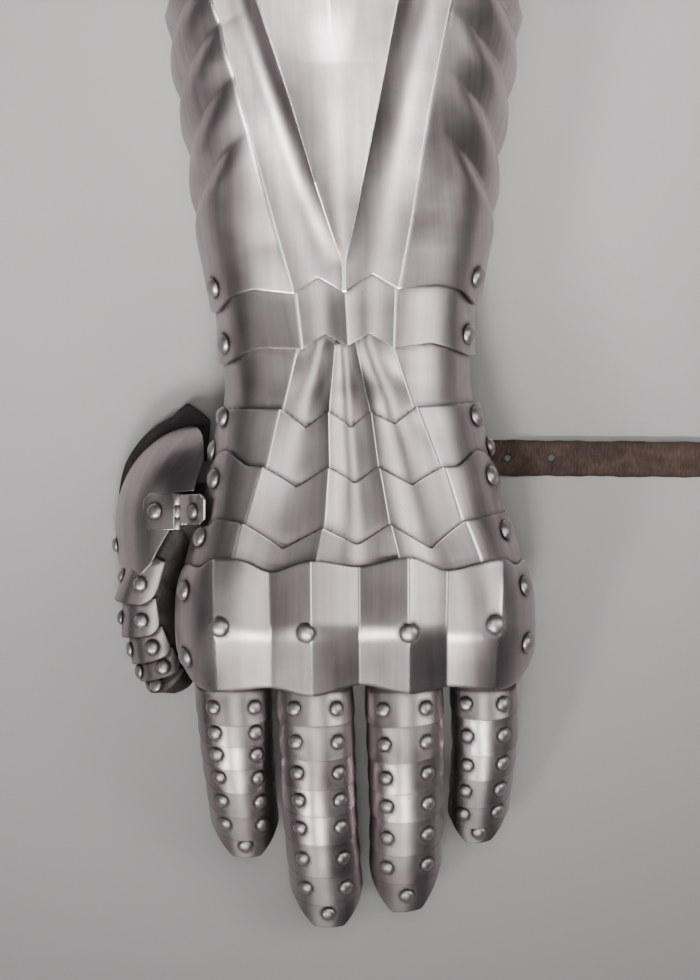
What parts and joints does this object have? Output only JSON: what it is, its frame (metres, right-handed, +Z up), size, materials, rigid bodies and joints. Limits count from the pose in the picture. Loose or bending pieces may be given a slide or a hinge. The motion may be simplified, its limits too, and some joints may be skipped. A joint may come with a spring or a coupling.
{
  "type": "armoured gauntlet",
  "caption": "Left-hand plate gauntlet: fluted steel cuff, riveted wrist and hand lames, ridged knuckle plate, scaled fingers and thumb over a leather glove, loose wrist strap.",
  "frame": {"origin": "centre of the whole bounding box on the floor, under the left-hand gauntlet lying palm down", "axes": "+Z up out of the back of the hand, +Y from the fingertips to the elbow edge of the cuff, -X on the thumb side, the wrist strap lies out to +X"},
  "size_m": [0.1952, 0.3398, 0.0953],
  "materials": {
    "steel": "satin, finely brushed along the hand",
    "glove_leather": "dark brown, matt, fine grain",
    "strap_leather": "mid brown, rough flesh side up"
  },
  "bodies": {
    "hand": {"knuckle_plate": "steel", "glove_palm": "glove_leather", "glove_index": "glove_leather", "glove_middle": "glove_leather", "glove_ring": "glove_leather", "glove_little": "glove_leather", "index_lame_1": "steel", "index_lame_2": "steel", "index_lame_3": "steel", "index_lame_4": "steel", "index_lame_5": "steel", "index_lame_6": "steel", "index_tip": "steel", "middle_lame_1": "steel", "middle_lame_2": "steel", "middle_lame_3": "steel", "middle_lame_4": "steel", "middle_lame_5": "steel", "middle_lame_6": "steel", "middle_lame_7": "steel", "middle_tip": "steel", "ring_lame_1": "steel", "ring_lame_2": "steel", "ring_lame_3": "steel", "ring_lame_4": "steel", "ring_lame_5": "steel", "ring_lame_6": "steel", "ring_tip": "steel", "little_lame_1": "steel", "little_lame_2": "steel", "little_lame_3": "steel", "little_lame_4": "steel", "little_lame_5": "steel", "little_tip": "steel"},
    "hand_lame_3": {"hand_lame_3": "steel"},
    "hand_lame_2": {"hand_lame_2": "steel", "hinge_leaf_hand": "steel", "hinge_pin": "steel"},
    "hand_lame_1": {"hand_lame_1": "steel", "wrist_strap": "strap_leather", "buckle_tab": "strap_leather", "buckle": "steel"},
    "wrist_lame_2": {"wrist_lame_2": "steel"},
    "wrist_lame_1": {"wrist_lame_1": "steel"},
    "cuff": {"cuff": "steel"},
    "thumb": {"thumb_shell": "steel", "thumb_backing": "glove_leather", "thumb_lame_1": "steel", "thumb_lame_2": "steel", "thumb_lame_3": "steel", "thumb_lame_4": "steel", "thumb_tip": "steel", "hinge_leaf_thumb": "steel", "glove_thumb": "glove_leather"}
  },
  "joints": [
    {"name": "hand_lame_3_pivot", "type": "hinge", "parent": "hand", "child": "hand_lame_3", "pos_m": [-0.01898, -0.05963, 0.04648], "axis": [0.9999, 0.0147, 0.0005], "range_deg": [-2.5, 1.5]},
    {"name": "hand_lame_2_pivot", "type": "hinge", "parent": "hand_lame_3", "child": "hand_lame_2", "pos_m": [-0.01947, -0.04223, 0.04335], "axis": [0.9997, 0.0225, 0.0004], "range_deg": [-2.5, 2.5]},
    {"name": "hand_lame_1_pivot", "type": "hinge", "parent": "hand_lame_2", "child": "hand_lame_1", "pos_m": [-0.01955, -0.02408, 0.04259], "axis": [0.9999, 0.0124, -0.0001], "range_deg": [-4, 1]},
    {"name": "wrist_lame_2_pivot", "type": "hinge", "parent": "hand_lame_1", "child": "wrist_lame_2", "pos_m": [-0.02057, -0.00463, 0.04167], "axis": [1, 0.0049, 0.0001], "range_deg": [-5, 1.5]},
    {"name": "wrist_lame_1_pivot", "type": "hinge", "parent": "wrist_lame_2", "child": "wrist_lame_1", "pos_m": [-0.02163, 0.02022, 0.04177], "axis": [0.9992, 0.0398, 0.0002], "range_deg": [-2.5, 5]},
    {"name": "cuff_pivot", "type": "hinge", "parent": "wrist_lame_1", "child": "cuff", "pos_m": [-0.02179, 0.03837, 0.04343], "axis": [0.9992, 0.0403, 0.0056], "range_deg": [-8, 5.5]},
    {"name": "thumb_hinge", "type": "hinge", "parent": "hand_lame_2", "child": "thumb", "pos_m": [-0.0758, -0.03533, 0.0334], "axis": [0, 1, 0], "range_deg": [-3, 20]}
  ]
}
